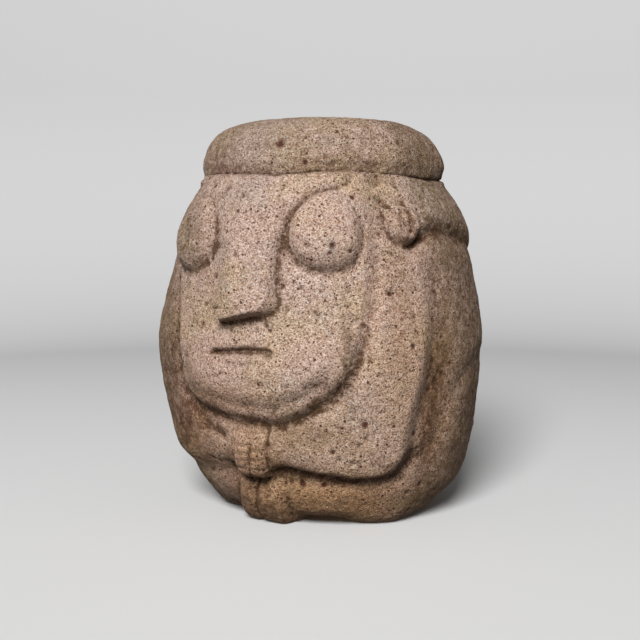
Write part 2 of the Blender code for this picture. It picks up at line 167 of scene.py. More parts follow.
HAIR_LINE = [
    (60.0, 0.69), (66.5, 0.706), (72.0, 0.72), (78.0, 0.72), (84.0, 0.716), (99.0, 0.699),
    (115.0, 0.675), (140.0, 0.645), (180.0, 0.63),
]
HAUNCH_LINE = [
    (180.0, 0.33), (150.0, 0.385), (120.0, 0.41), (98.0, 0.4), (84.5, 0.374), (79.0, 0.344),
    (75.2, 0.305), (72.5, 0.263), (69.5, 0.22), (65.0, 0.188), (58.0, 0.165),
]
LUMP_LINE = [
    (-10.0, 0.15), (-12.0, 0.1), (-17.0, 0.06), (-25.0, 0.02), (-30.0, -0.04), (8.0, -0.04),
    (7.0, 0.01), (7.5, 0.05), (8.5, 0.1), (9.0, 0.15),
]
LUMP_SPLIT = [(-1.5, 0.125), (-5.0, 0.074), (-10.0, 0.005)]
MOUTH_LINE = [
    (-11.5, 0.433), (-8.0, 0.435), (-2.8, 0.44), (2.9, 0.441), (7.4, 0.44), (7.6, 0.434),
]
LIP_LINE = [(-8.7, 0.424), (-4.5, 0.411), (-0.3, 0.407), (5.5, 0.413)]
EAR_ARC = [(48.5, 0.800), (51.5, 0.810), (55.6, 0.814), (60.0, 0.808), (64.0, 0.795)]
EAR_CLEFT = [(48.0, 0.796), (50.4, 0.787), (53.6, 0.772)]
EAR_LOBE = [
    (52.0, 0.77), (50.6, 0.75), (50.4, 0.73), (51.4, 0.708), (53.6, 0.692), (56.4, 0.684),
    (59.4, 0.686), (62.2, 0.698), (63.8, 0.716), (64.0, 0.738), (62.6, 0.76), (59.3, 0.776),
    (55.5, 0.78),
]

# Places of single forms, in the same way as the lines.
EYE_PLACES = [(26.3, 0.712), (-28.8, 0.706)]
NOSE_ROOT = 0.760
EAR_PLACE = (57.2, 0.744)
EAR_KNOBS = [
    (61.4, 0.742), (61.8, 0.722), (53.2, 0.716), (55.6, 0.702), (59.2, 0.7), (53.6, 0.742),
    (55.6, 0.762), (59.0, 0.764), (57.8, 0.744),
]
EAR_HOLES = [(55.8, 0.750), (57.0, 0.728), (59.6, 0.732), (58.6, 0.714)]
HOLLOW_PLACE = (68.0, 0.320)
HAND_PLACE = (-0.4, 0.198)
# The grooves between the fingers of the left and of the right fist.
FINGER_LEVELS = {1: (0.2080, 0.1900, 0.1665), -1: (0.2185, 0.2020, 0.1890, 0.1700)}
# Where each arch of the underside starts, is full, starts to fall and ends.
ARCHES = [(7.0, 12.0, 26.0, 50.0), (-45.0, -34.0, -26.0, -16.0)]
# The two feet: angle of the middle, and half width in degrees.
FOOT_PADS = [(60.0, 17.0), (-62.0, 17.0)]

# Broad swellings and dents that make the stone uneven: angle, height share, reach, amount.
SWELLS = [
    (-60.0, 0.96, 0.05, 0.004), (100.0, 0.99, 0.05, -0.003), (112.0, 0.905, 0.04, 0.005),
    (110.0, 0.27, 0.06, -0.0035), (-62.0, 0.155, 0.03, -0.009), (-64.0, 0.43, 0.07, 0.003),
    (115.0, 0.08, 0.06, 0.003),
]
# The tool marks and wear of the surface: wavelength and height, in metres.
WEAR = [(0.065, 0.0011), (0.026, 0.0007), (0.012, 0.00050), (0.0062, 0.00042)]
# How the carved lines wander: wavelength and reach.
LINE_WANDER = (0.022, 0.0012)
# Small pits: least and greatest radius, depth, and how far they stay off the ground.
PIT_SIZES = (0.0014, 0.0034)
PIT_DEPTH = 0.0016
PIT_CLEARANCE = 0.004
PIT_SEED = 11
# Distances from the axis between which the sides' painted shade and weathering fade out on the
# top.
TOP_FADE = (0.075, 0.030)
# How the finish finds hollows, which it paints brown as patina and as painted shade: rounds of
# blurring, then for each the depths where brown starts and is full, and its share.
BLUR_ROUNDS = (8, 40, 240)
HOLLOW_STEPS = [(0.00008, 0.00070, 0.40), (0.00020, 0.0018, 0.55), (0.0008, 0.0050, 0.60)]

# Single holes: angle, height share, radius, depth.
HOLES = [
    (47.3, 0.57, 0.0024, 0.004), (53.6, 0.453, 0.002, 0.003), (15.0, 0.116, 0.0036, 0.004),
    (23.5, 0.115, 0.0024, 0.003), (5.4, 0.927, 0.0042, 0.003), (18.4, 0.876, 0.0032, 0.0022),
    (37.7, 0.275, 0.0036, 0.0016), (27.3, 0.212, 0.0022, 0.0022), (34.4, 0.668, 0.002, 0.002),
    (36.8, 0.786, 0.0024, 0.0016), (94.9, 0.634, 0.0026, 0.0026), (114.0, 0.436, 0.0065, 0.0045),
    (110.0, 0.452, 0.005, 0.003), (98.0, 0.362, 0.0045, 0.003), (-16.0, 0.65, 0.0022, 0.0018),
    (28.6, 0.68, 0.003, 0.0016), (27.8, 0.664, 0.0022, 0.0012),
]
# Stains, as angle, height share, reach across, reach up, amount; one list for each of the finish's
# stain layers. The weathering and patina lists also hold painted shade: dark patches on the flanks
# and along creases, hollows and the band's groove.
STAINS = {
    "weather_and_shade": [
        (-29.0, 0.705, 0.034, 0.038, 0.9), (-42.0, 0.56, 0.02, 0.06, 0.6),
        (52.0, 0.65, 0.022, 0.03, 0.45), (-38.0, 0.92, 0.04, 0.03, 0.4),
        (-24.0, 0.4, 0.024, 0.036, 0.4), (2.0, 0.27, 0.06, 0.012, 0.5),
        (-56.0, 0.5, 0.05, 0.11, 0.9), (52.0, 0.6, 0.02, 0.1, 0.5), (96.0, 0.6, 0.06, 0.1, 0.35),
        (110.0, 0.3, 0.05, 0.12, 0.35),
    ],
    "ochre": [
        (0.0, 0.19, 0.046, 0.036, 0.55), (-4.0, 0.06, 0.05, 0.05, 0.8),
        (24.0, 0.06, 0.11, 0.045, 1.0), (30.0, 0.2, 0.06, 0.04, 0.3),
        (50.0, 0.42, 0.04, 0.12, 0.3), (57.0, 0.73, 0.016, 0.024, 0.3),
        (65.0, 0.32, 0.02, 0.07, 0.9), (-28.0, 0.22, 0.04, 0.04, 0.6),
        (-10.0, 0.33, 0.05, 0.014, 0.4),
    ],
    "patina_and_shade": [
        (32.0, 0.425, 0.006, 0.044, 0.7), (28.0, 0.37, 0.012, 0.014, 0.6),
        (22.5, 0.33, 0.016, 0.009, 0.6), (13.0, 0.302, 0.022, 0.007, 0.5),
        (0.0, 0.294, 0.026, 0.006, 0.4), (-14.0, 0.302, 0.02, 0.008, 0.45),
        (66.0, 0.36, 0.014, 0.06, 0.7), (64.0, 0.25, 0.014, 0.04, 0.75),
        (-27.0, 0.29, 0.022, 0.016, 1.0), (-33.0, 0.235, 0.024, 0.024, 0.95),
        (-19.0, 0.245, 0.024, 0.01, 0.8), (-36.0, 0.4, 0.012, 0.05, 0.8),
        (-33.0, 0.37, 0.008, 0.034, 1.0), (-36.0, 0.48, 0.006, 0.03, 0.6),
        (-10.0, 0.29, 0.03, 0.006, 0.5), (-2.0, 0.436, 0.026, 0.0025, 0.6),
        (24.0, 0.135, 0.06, 0.007, 0.75), (10.0, 0.14, 0.01, 0.009, 1.0),
        (52.0, 0.15, 0.016, 0.014, 0.6), (64.0, 0.2, 0.02, 0.03, 0.55),
        (0.0, 0.16, 0.034, 0.04, 0.38), (-4.0, 0.06, 0.05, 0.04, 0.55),
        (-28.0, 0.24, 0.03, 0.03, 0.55), (-22.0, 0.275, 0.02, 0.01, 0.8),
        (-44.0, 0.33, 0.014, 0.05, 0.6), (30.0, 0.142, 0.08, 0.006, 0.6),
        (53.5, 0.19, 0.008, 0.03, 0.5), (38.0, 0.1, 0.07, 0.02, 0.25),
        (22.0, 0.25, 0.04, 0.012, 0.35), (57.5, 0.725, 0.014, 0.018, 0.3),
        (76.0, 0.71, 0.018, 0.008, 0.8), (92.0, 0.7, 0.02, 0.009, 0.8),
        (102.0, 0.69, 0.014, 0.01, 0.6), (90.0, 0.846, 0.03, 0.007, 0.6),
        (110.0, 0.846, 0.022, 0.009, 0.7), (11.0, 0.7, 0.006, 0.05, 0.2),
        (20.0, 0.85, 0.13, 0.008, 0.5), (88.0, 0.56, 0.03, 0.08, 0.25),
        (-50.0, 0.3, 0.02, 0.08, 0.4), (40.0, 0.87, 0.08, 0.008, 0.45),
        (100.0, 0.3, 0.05, 0.1, 0.25),
    ],
    "rust": [
        (5.4, 0.927, 0.006, 0.005, 1.0), (18.4, 0.876, 0.005, 0.004, 0.7),
        (-28.0, 0.869, 0.028, 0.005, 0.6), (-15.1, 0.803, 0.0035, 0.0045, 0.9),
        (-34.0, 0.64, 0.012, 0.005, 0.45), (66.0, 0.6, 0.008, 0.03, 0.3),
        (-31.0, 0.255, 0.03, 0.028, 0.35),
    ],
    "grey": [
        (28.5, 0.674, 0.004, 0.0075, 1.0), (27.0, 0.69, 0.003, 0.004, 0.8),
        (4.0, 0.764, 0.004, 0.006, 0.6), (-6.0, 0.8, 0.04, 0.018, 0.45),
        (30.0, 0.93, 0.05, 0.016, 0.45), (70.0, 0.86, 0.03, 0.05, 0.35),
        (-40.0, 0.7, 0.03, 0.03, 0.55), (-28.0, 0.705, 0.02, 0.03, 0.4),
        (-5.0, 0.95, 0.11, 0.045, 0.45),
    ],
    "pale": [
        (35.4, 0.261, 0.003, 0.003, 0.9), (11.2, 0.201, 0.0025, 0.0045, 0.9),
        (-16.3, 0.175, 0.005, 0.003, 0.6), (51.9, 0.717, 0.0045, 0.0035, 0.85),
        (68.8, 0.77, 0.006, 0.006, 0.45), (-6.0, 0.19, 0.002, 0.013, 0.9),
        (20.0, 0.56, 0.05, 0.05, 0.25), (80.0, 0.79, 0.05, 0.024, 0.5),
        (32.0, 0.2, 0.05, 0.03, 0.4), (36.0, 0.3, 0.05, 0.05, 0.4), (14.0, 0.36, 0.04, 0.03, 0.3),
        (16.0, 0.15, 0.012, 0.006, 0.25),
    ],
}
# What weathering with painted shade on the flanks and bottom, and ochre stains, multiply the
# stone's colour by.
DULLED_AND_SHADED = (0.50, 0.465, 0.37)
YELLOWED = (1.00, 0.83, 0.60)

# The studio: the picture's middle; the key light's azimuth, elevation, distance and width; and
# the steps of the floor round its middle and up its wall.
MIDDLE = (0.0008, 0.0044, 0.201)
KEY_LIGHT = (15.0, 35.0, 5.0, 2.1)
WHITE = (1.0, 1.0, 1.0)
FLOOR_STEPS = 64
WALL_STEPS = 12


def length(name, description, default):
    """A size that a user can change."""
    return bpy.props.FloatProperty(
        name=name,
        description=description,
        default=default,
        min=0.0,
        precision=4,
        unit="LENGTH",
    )


def colour(name, description, default):
    """A colour that a user can change."""
    return bpy.props.FloatVectorProperty(
        name=name,
        description=description,
        default=default,
        size=3,
        min=0.0,
        max=1.0,
        subtype="COLOR",
    )


def factor(name, description, default, high=1.0):
    """A plain share that a user can change."""
    return bpy.props.FloatProperty(
        name=name, description=description, default=default, min=0.0, max=high
    )


class StoneForm(bpy.types.PropertyGroup):
    """The figure's sizes."""

    height: length("Height", "From the ground to the top of the band", round(STONE_SIZE.z, 3))
    width: length("Width", "Across the arms", round(STONE_SIZE.x, 3))
    band_height: length("Band height", "Height of the rolled head band", 0.0635)
    band_width: length("Band width", "Width over the rolled head band", 0.258)
    face_relief: length("Face", "How far the face stands out of the block", 0.0100)
    arm_relief: length("Arms", "How far the arms stand out of the block", 0.0110)
    hair_relief: length("Hair", "How far the hair stands out behind the ears", 0.0050)
    brow_relief: length("Brow", "How far the forehead stands out over the eyes", 0.0050)
    crease_depth: length("Creases", "Depth of the creases between the forms", 0.0045)
    eye_radius: length("Eye radius", "Radius of each round eye", 0.0365)
    eye_relief: length("Eyes", "How far each eye bulges", 0.0110)
    nose_relief: length("Nose", "How far the foot of the nose stands out", 0.0140)
    mouth_depth: length("Mouth", "Depth of the mouth slit", 0.0080)
    ear_relief: length("Ears", "How far each ear stands out", 0.0090)
    hand_relief: length("Hands", "How far the fists stand out of the forearms", 0.0050)
    lump_relief: length("Lump", "How far the split lump under the hands stands out", 0.0120)
    wear: factor("Wear", "Strength of the stone's unevenness", 1.0, 3.0)
    pits: bpy.props.IntProperty(
        name="Pits",
        description="How many small pits are in the surface",
        default=1100,
        min=0,
        max=5000,
    )


class StoneFinish(bpy.types.PropertyGroup):
    """The stone's colours and grain."""

    pink: colour("Pink", "The stone's main colour", (0.575, 0.398, 0.316))
    sand: colour("Sand", "The stone's yellower patches", (0.560, 0.395, 0.265))
    grey: colour("Grey", "The stone's grey patches", (0.400, 0.330, 0.290))
    # This dark is also the painted shade in the pits and holes.
    dark: colour("Dark grains", "The dark grains and the pits' bottoms", (0.095, 0.036, 0.020))
    light: colour("Light grains", "The palest grains", (0.700, 0.580, 0.480))
    # This brown is also the painted shade in hollows, creases and under downward faces.
    patina_and_shade: colour("Patina", "The brown stain in the hollows", (0.100, 0.048, 0.020))
    rust: colour("Rust", "The dark red stains", (0.120, 0.036, 0.022))
    grain: length("Grain", "Size of the stone's grains", 0.0010)
    roughness: factor("Roughness", "How matt the stone is", 0.95)
    depth: length("Grain depth", "How deep the grain looks", 0.0013)


class StudioSettings(bpy.types.PropertyGroup):
    """The floor, the lights and the camera."""

    floor: colour("Floor", "The floor and the backdrop", (0.800, 0.800, 0.800))
    reach: length("Reach", "How far the floor goes before it curves up", 1.5)
    key: factor("Key light", "Strength of the main soft light, in watts", 345.0, 1000.0)
    fill: factor("Fill light", "Strength of the light from all round", 0.11, 10.0)
    azimuth: bpy.props.FloatProperty(
        name="Azimuth",
        description="How far round to the figure's left the camera stands",
        default=math.radians(27.0),
        subtype="ANGLE",
    )
    elevation: bpy.props.FloatProperty(
        name="Elevation",
        description="How far the camera looks down",
        default=math.radians(5.0),
        subtype="ANGLE",
    )
    distance: length("Distance", "From the camera to the middle of the figure", 1.10)
    view: length("View", "Width of the picture at the middle of the figure", 0.7078)


def smooth(x):
    """0 up to x = 0, 1 from x = 1 on, with no corner between."""
    x = np.clip(x, 0.0, 1.0)
    return x * x * (3.0 - 2.0 * x)


def ramp(value, start, full):
    """0 before start and 1 past full, which may lie either way, with no corner between."""
    return smooth((value - start) / (full - start))


def bump(x):
    """A bell that is 1 at x = 0 and almost nothing past x = 2."""
    return np.exp(-x * x)


def curve_through(points, steps=8):
    """A smooth line through the points, with steps pieces between neighbours."""
    points = [Vector((*p, 0.0)) for p in points]
    ends = [2 * points[0] - points[1], *points, 2 * points[-1] - points[-2]]
    line = []
    for before, start, end, after in zip(ends, ends[1:], ends[2:], ends[3:]):
        for i in range(steps):
            t = i / steps
            spot = 0.5 * (
                2 * start
                + (end - before) * t
                + (2 * before - 5 * start + 4 * end - after) * t**2
                + (3 * start - before - 3 * end + after) * t**3
            )
            line.append((spot.x, spot.y))
    line.append((points[-1].x, points[-1].y))
    return line


class Chart:
    """The block's surface unrolled: across is the way round from the front, up is the height."""

    def __init__(self, form, angle, height, wander):
        self.form = form
        self.round = 0.45 * form.width
        self.degrees = np.degrees(angle)
        self.across = angle * self.round + wander[:, 0]
        self.up = height + wander[:, 1]
        self.share = self.up / form.height

    def place(self, degrees, share):
        """The chart's across and up for an angle and a height share."""
        return math.radians(degrees) * self.round, share * self.form.height

    def line(self, points, mirrored=False, steps=8):
        """A smooth line on the chart through places given as angles and height shares."""
        side = -1.0 if mirrored else 1.0
        curve = curve_through(points, steps)
        return [self.place(side * degrees, share) for degrees, share in curve]

    def distance(self, line):
        """How far each spot is from a line."""
        nearest = np.full(self.up.shape, np.inf)
        for (ax, ay), (bx, by) in zip(line, line[1:]):
            dx, dy = bx - ax, by - ay
            along = ((self.across - ax) * dx + (self.up - ay) * dy) / (dx * dx + dy * dy)
            along = np.clip(along, 0.0, 1.0)
            gap = np.hypot(self.across - ax - along * dx, self.up - ay - along * dy)
            nearest = np.minimum(nearest, gap)
        return nearest

    def inside(self, outline):
        """How far each spot is inside a closed outline; less than nothing outside it."""
        within = np.zeros(self.up.shape, bool)
        for (ax, ay), (bx, by) in zip(outline, outline[1:] + outline[:1]):
            if ay == by:
                continue
            crosses = (ay > self.up) != (by > self.up)
            within ^= crosses & (self.across < ax + (self.up - ay) / (by - ay) * (bx - ax))
        gap = self.distance(outline + outline[:1])
        return np.where(within, gap, -gap)

    def from_place(self, degrees, share):
        """Across and up from a place on the chart."""
        across, up = self.place(degrees, share)
        return self.across - across, self.up - up


def rounded_edge(inside, width, power=2.4, soft=0.05):
    """A plate's height: nothing outside its outline, 1 from width inside it, rounded between.

    The bigger soft is, the more the foot of the shoulder is filled.
    """
    along = inside / width
    along = 0.5 * (along + np.hypot(along, soft))
    return 1.0 - (1.0 - np.clip(along, 0.0, 1.0)) ** power


def carve_hair(chart):
    """A smooth fall of hair behind the ears, down to the nape, with a crease under it."""
    form = chart.form
    relief = np.zeros(chart.up.shape)
    for mirrored in (False, True):
        edge = chart.line(HAIR_LINE, mirrored)
        closing = [(edge[-1][0], form.height), (edge[0][0], form.height)]
        inside = chart.inside([*edge, *closing])
        gap = chart.distance(edge)
        relief += form.hair_relief * rounded_edge(np.where(inside > 0, gap, 0.0), HAIR_EDGE)
        fading = 1.0 - 0.8 * ramp(np.abs(chart.degrees), 90.0, 108.0)
        relief -= 1.4 * form.crease_depth * fading * bump(gap / (1.6 * CREASE_WIDTH))
    return relief


def carve_haunches(chart):
    """The crease over each folded leg, and the hollow between the leg and the elbow."""
    form = chart.form
    relief = np.zeros(chart.up.shape)
    for side in (1, -1):
        gap = chart.distance(chart.line(HAUNCH_LINE, side < 0))
        sharp = bump((chart.share - 0.175) / 0.06)
        width = CREASE_WIDTH * (2.0 - 0.5 * sharp)
        relief -= form.crease_depth * (0.5 + 0.2 * sharp) * bump(gap / width)
        across, up = chart.from_place(side * HOLLOW_PLACE[0], HOLLOW_PLACE[1])
        reach = np.hypot(across / HOLLOW_WIDTH, up / (HOLLOW_HEIGHT * form.height))
        relief -= HOLLOW_DEPTH * bump(reach)
    return relief


def carve_arms(chart):
    """Both arms: down beside the face, bent at the elbow, with the forearms meeting in front."""
    form = chart.form
    left = chart.line(ARM_LINE)
    right = chart.line(ARM_LINE, mirrored=True)
    inside = chart.inside([*left, *reversed(right)])
    fade = ramp(chart.share, 0.74, 0.38)
    under = ramp(chart.share, 0.22, 0.16)
    worn = smooth((-chart.across - HAND_WIDTH / 2) / HAND_WIDTH)
    crease = form.crease_depth * under * (0.8 - 0.7 * worn)
    crease *= bump(0.6 + inside / (1.8 * CREASE_WIDTH))
    fold = form.crease_depth * bump(chart.distance(chart.line(SLEEVE_LINE)) / CREASE_WIDTH)
    rear = 0.85 * ramp(np.abs(chart.degrees), 44.0, 52.0)
    soft = np.maximum(1.0 - under, np.maximum(worn, rear))
    shape = rounded_edge(inside, ARM_EDGE)
    shape += soft * (smooth(0.4 + inside / UPPER_ARM_EDGE) - shape)
    return form.arm_relief * fade * (1.0 - 0.3 * worn) * shape - crease - 0.8 * fold


def carve_face(chart):
    """The face is one plate with a rounded edge and a crease round its lower part.

    Gives its relief, and the share in which each spot is on it.
    """
    form = chart.form
    inside = chart.inside(chart.line(FACE_LINE) + chart.line(FACE_LINE_RIGHT))
    high = ramp(chart.share, 0.42, 0.67)
    chin = ramp(chart.share, 0.50, 0.38)
    width = FACE_EDGE * (1.0 + 1.2 * high) + (CHIN_EDGE - FACE_EDGE) * chin
    shape = rounded_edge(inside, width, 2.4 - 0.4 * chin, FACE_FILLET * (0.5 + chin))
    shape += high * (smooth(0.35 + inside / width) - shape)
    plate = (form.face_relief + CHIN_RELIEF * chin) * shape
    crease = form.crease_depth * (1.0 + 0.2 * chin) * bump(0.5 + inside / (1.5 * CREASE_WIDTH))
    low = 0.3 + 0.7 * ramp(chart.share, 0.80, 0.35)
    return plate - crease * low, smooth(inside / FACE_EDGE)


def carve_brow_and_nose(chart):
    """The forehead and the nose are one raised form that narrows downwards between the eyes."""
    form = chart.form
    left = chart.line(BROW_LINE)
    right = [(-across, up) for across, up in reversed(left)]
    foot = chart.line(NOSE_FOOT_LINE, steps=3)
    top = [(-left[0][0], form.height), (left[0][0], form.height)]
    inside = chart.inside([*left, *foot, *right, *top])
    root, tip = NOSE_ROOT * form.height, foot[len(foot) // 2][1]
    down = ramp(chart.up, root, tip)
    height = form.brow_relief + (form.nose_relief - form.brow_relief) * down
    worn = np.where(chart.across > 0, 1.0, 3.2)
    slope = worn * (STEP_WIDTH + (NOSE_SLOPE - STEP_WIDTH) * down)
    under = FOOT_STEP * (0.6 + 1.4 * smooth(0.5 + chart.across / NOSE_WIDTH))
    slope = np.where(chart.up > tip + 0.5 * NOSE_SLOPE, slope, under)
    beside = bump((chart.share - 0.745) / 0.09)
    groove = BROW_GROOVE * bump(chart.distance(left) / (0.75 * STEP_WIDTH)) * beside
    flat = 0.5 * ramp(chart.share, 0.62, 0.72) * smooth(-chart.across / NOSE_WIDTH)
    return height * (1.0 - flat) * smooth(0.5 + inside / slope) - groove


def carve_eyes(chart):
    """Two large round eyes that bulge out, clearest at their lower rims."""
    form = chart.form
    relief = np.zeros(chart.up.shape)
    for place in EYE_PLACES:
        across, up = chart.from_place(*place)
        reach = np.hypot(across, up) / form.eye_radius
        dome = np.clip(1.0 - reach**3.6, 0.0, None)
        lower = 0.85 - 0.15 * np.clip(up / form.eye_radius, -1.0, 1.0)
        below = smooth(0.5 - 0.9 * up / form.eye_radius)
        rim = np.hypot(across, up) - form.eye_radius
        relief += form.eye_relief * lower * dome
        relief -= EYE_CREASE * form.crease_depth * below * bump(rim / CREASE_WIDTH - 0.6)
    return relief


def carve_mouth(chart):
    """A slit that hooks down at one end, over a slight lower lip."""
    form = chart.form
    slit = bump(chart.distance(chart.line(MOUTH_LINE, steps=4)) / (MOUTH_OPENING / 2))
    below = chart.distance(chart.line(LIP_LINE, steps=4))
    lip = bump((below - 1.4 * MOUTH_OPENING) / MOUTH_OPENING)
    lip *= bump((chart.up - 0.424 * form.height) / (1.4 * MOUTH_OPENING))
    crease = bump(below / (0.8 * MOUTH_OPENING))
    return LIP_CREASE * lip - form.mouth_depth * slit - LIP_CREASE * crease


def moved_back(places, degrees):
    """The same places, further round from the front."""
    return [(angle + degrees, share) for angle, share in places]


def carve_ears(chart):
    """Each ear is a roll curled round a knobbed lobe, with a cleft in front and small holes."""
    form = chart.form
    relief = np.zeros(chart.up.shape)
    for side in (1, -1):
        mirrored = side < 0
        back, kept = (FAR_EAR_BACK, FAR_EAR_SHARE) if mirrored else (0.0, 1.0)
        across, up = chart.from_place(side * (EAR_PLACE[0] + back), EAR_PLACE[1])
        reach = np.hypot(across / (EAR_WIDTH / 2), up / (EAR_HEIGHT / 2))
        relief += 0.6 * form.ear_relief * np.clip(1.0 - reach**4, 0.0, None)
        relief -= TEMPLE_DEPTH * bump(np.hypot(across, up) / TEMPLE_REACH) ** 2
        roll = chart.distance(chart.line(moved_back(EAR_ARC, back), mirrored, steps=5))
        relief += 0.4 * form.ear_relief * bump(roll / EAR_ROLL)
        lobe = chart.inside([chart.place(side * d, s) for d, s in moved_back(EAR_LOBE, back)])
        relief += EAR_LOBE_RELIEF * rounded_edge(lobe, 2.4 * EAR_ROLL)
        under = 0.1 + 0.9 * smooth(-0.2 - up / (0.4 * EAR_HEIGHT))
        relief -= 0.6 * EAR_LOBE_RELIEF * under * bump(0.5 + lobe / (0.7 * EAR_ROLL))
        for degrees, share in moved_back(EAR_KNOBS, back):
            knob = np.hypot(*chart.from_place(side * degrees, share))
            relief += kept * EAR_KNOB_RELIEF * bump(knob / EAR_KNOB_RADIUS)
        cleft = chart.distance(chart.line(moved_back(EAR_CLEFT, back), mirrored, steps=4))
        relief -= kept * EAR_CLEFT_DEPTH * bump(cleft / (0.6 * EAR_ROLL))
        for degrees, share in moved_back(EAR_HOLES, back):
            hole = np.hypot(*chart.from_place(side * degrees, share))
            relief -= kept * EAR_HOLE_DEPTH * bump(hole / (0.40 * EAR_ROLL))
    return relief


def carve_hands(chart):
    """Two fists side by side under the chin, each with its fingers marked by short grooves."""
    form = chart.form
    across, up = chart.from_place(*HAND_PLACE)
    across = across - HAND_SLANT * up
    box = np.maximum(np.abs(across) - HAND_WIDTH / 2, np.abs(up) - HAND_HEIGHT / 2)
    relief = (form.hand_relief - HAND_LEAN * up / HAND_HEIGHT) * smooth(0.5 - box / STEP_WIDTH)
    relief *= smooth((0.5 * HAND_HEIGHT - up) / (0.4 * HAND_HEIGHT))
    groove = 0.8 * FINGER_GROOVE
    within = smooth(-box / groove)
    fingers_top = 0.24 * HAND_HEIGHT
    between = bump(across / groove) * smooth((fingers_top - up) / groove)
    relief -= 1.3 * FINGER_GROOVE * within * between
    beside = smooth((0.6 * HAND_HEIGHT - up) / (0.3 * HAND_HEIGHT))
    beside *= smooth((up + 0.3 * HAND_HEIGHT) / groove)
    relief -= FINGER_GROOVE * beside * bump((across - HAND_WIDTH / 2) / groove)
    for side, levels in FINGER_LEVELS.items():
        fist = smooth(side * across / groove)
        for share in levels:
            rise = up - (share - HAND_PLACE[1]) * form.height
            relief -= 0.6 * FINGER_GROOVE * within * fist * bump(rise / groove)
    return relief


def carve_lump(chart):
    """A short split lump that hangs from the hands to the ground."""
    form = chart.form
    inside = chart.inside([chart.place(*spot) for spot in LUMP_LINE])
    under_hands = HAND_PLACE[1] * form.height - HAND_HEIGHT / 2
    out = 0.25 + 0.75 * smooth((under_hands - chart.up) / (0.7 * under_hands))
    split = bump(chart.distance(chart.line(LUMP_SPLIT)) / FINGER_GROOVE)
    return form.lump_relief * out * rounded_edge(inside, LUMP_EDGE) - 1.6 * FINGER_GROOVE * split


def carve_swells(chart):
    """Slight unevenness of the whole stone."""
    relief = np.zeros(chart.up.shape)
    for degrees, share, reach, amount in SWELLS:
        across, up = chart.from_place(degrees, share)
        relief += amount * bump(np.hypot(across, up) / reach)
    return relief


def relief_of(chart):
    """All the carving, as a distance out of the block."""
    form = chart.form
    plate, on_face = carve_face(chart)
    face = carve_brow_and_nose(chart) + carve_eyes(chart) + carve_mouth(chart)
    body = carve_arms(chart) + carve_haunches(chart) + carve_hair(chart) + carve_ears(chart)
    body += carve_hands(chart) + carve_lump(chart)
    relief = plate + face * on_face + body * (1 - on_face)
    relief *= smooth((form.height - form.band_height - chart.up) / STEP_WIDTH)
    return relief + carve_swells(chart)


def detail(steps):
    return steps


def block_profile(form):
    """Half the block's outline, from the middle of its underside to the middle of its top."""
    half = form.width / 2
    band = form.band_width / 2
    rise = form.band_height
    groove = form.height - rise
    foot = (BASE_WIDTH / 2, FOOT_ROUNDING * form.height)
    knots = [(0.0, 0.0), (0.85 * BASE_WIDTH / 2, 0.0), foot]
    knots += [(half * share, form.height * level) for level, share in BODY_OUTLINE]
    knots += [
        (band - BAND_GROOVE, groove),
        (band - 0.45 * BAND_GROOVE, groove + 0.07 * rise),
        (band - 0.10 * BAND_GROOVE, groove + 0.16 * rise),
        (band, groove + 0.26 * rise),
        (0.976 * band, groove + 0.42 * rise),
        (0.932 * band, groove + 0.61 * rise),
        (0.852 * band, groove + 0.79 * rise),
        (0.720 * band, groove + 0.92 * rise),
        (0.520 * band, groove + 0.985 * rise),
        (0.0, form.height),
    ]
    fine = np.array(curve_through(knots, steps=24))
    steps = np.hypot(*np.diff(fine, axis=0).T)
    flat = (fine[1:, 1] < 0.001 * form.height) | (fine[1:, 1] > form.height - 0.02 * rise)
    along = np.concatenate([[0.0], np.cumsum(np.where(flat, FLAT_SHARE, 1.0) * steps)])
    even = np.linspace(0.0, along[-1], detail(PROFILE_STEPS) + 1)
    across = np.clip(np.interp(even, along, fine[:, 0]), 0.0, None)
    up = np.clip(np.interp(even, along, fine[:, 1]), 0.0, form.height)
    across[0] = across[-1] = 0.0
    return list(zip(across, up))


def spun(outline, steps):
    """An outline of across and up spun round the upright axis, as one surface."""
    bm = bmesh.new()
    verts = [bm.verts.new((0.0, -across, up)) for across, up in outline]
    edges = [bm.edges.new(pair) for pair in zip(verts, verts[1:])]
    bmesh.ops.spin(
        bm,
        geom=verts + edges,
        cent=(0.0, 0.0, 0.0),
        axis=(0.0, 0.0, 1.0),
        angle=math.tau,
        steps=steps,
        use_merge=True,
        use_duplicate=False,
    )
    bmesh.ops.remove_doubles(bm, verts=bm.verts, dist=1e-5)
    bmesh.ops.recalc_face_normals(bm, faces=bm.faces)
    return bm


def pressed_to_plan(form, points, angle):
    """The round block pressed into its plan, with its foot a little to the left."""
    radius = np.hypot(points[:, 0], points[:, 1])
    up = points[:, 2]
    share = up / form.height
    levels, front, back = (np.array(column) for column in zip(*DEPTH_SHARES))
    sine, cosine = np.sin(angle), np.cos(angle)
    power = np.where(cosine > 0, FRONT_ROUNDNESS, BACK_ROUNDNESS)
    swell = (np.abs(sine) ** power + np.abs(cosine) ** power) ** (-1 / power)
    ahead = np.interp(share, levels, front) * FRONT_DEPTH / (form.width / 2)
    behind = np.interp(share, levels, back) * BACK_DEPTH / (form.width / 2)
    depth = np.where(cosine > 0, ahead, behind)
    shift = FOOT_SHIFT * smooth((0.20 - share) / 0.20)
    pressed = np.empty_like(points)
    pressed[:, 0] = radius * swell * sine + shift
    pressed[:, 1] = -radius * swell * cosine * depth
    pressed[:, 2] = up
    return pressed


def band_wander(form, points, angle):
    """How far the lower edge of the band is off its level."""
    turns, rises = zip(*BAND_EDGE)
    groove = form.height - form.band_height
    near = bump((points[:, 2] - groove) / (0.25 * form.band_height))
    return np.interp(np.degrees(angle), turns, rises) * near


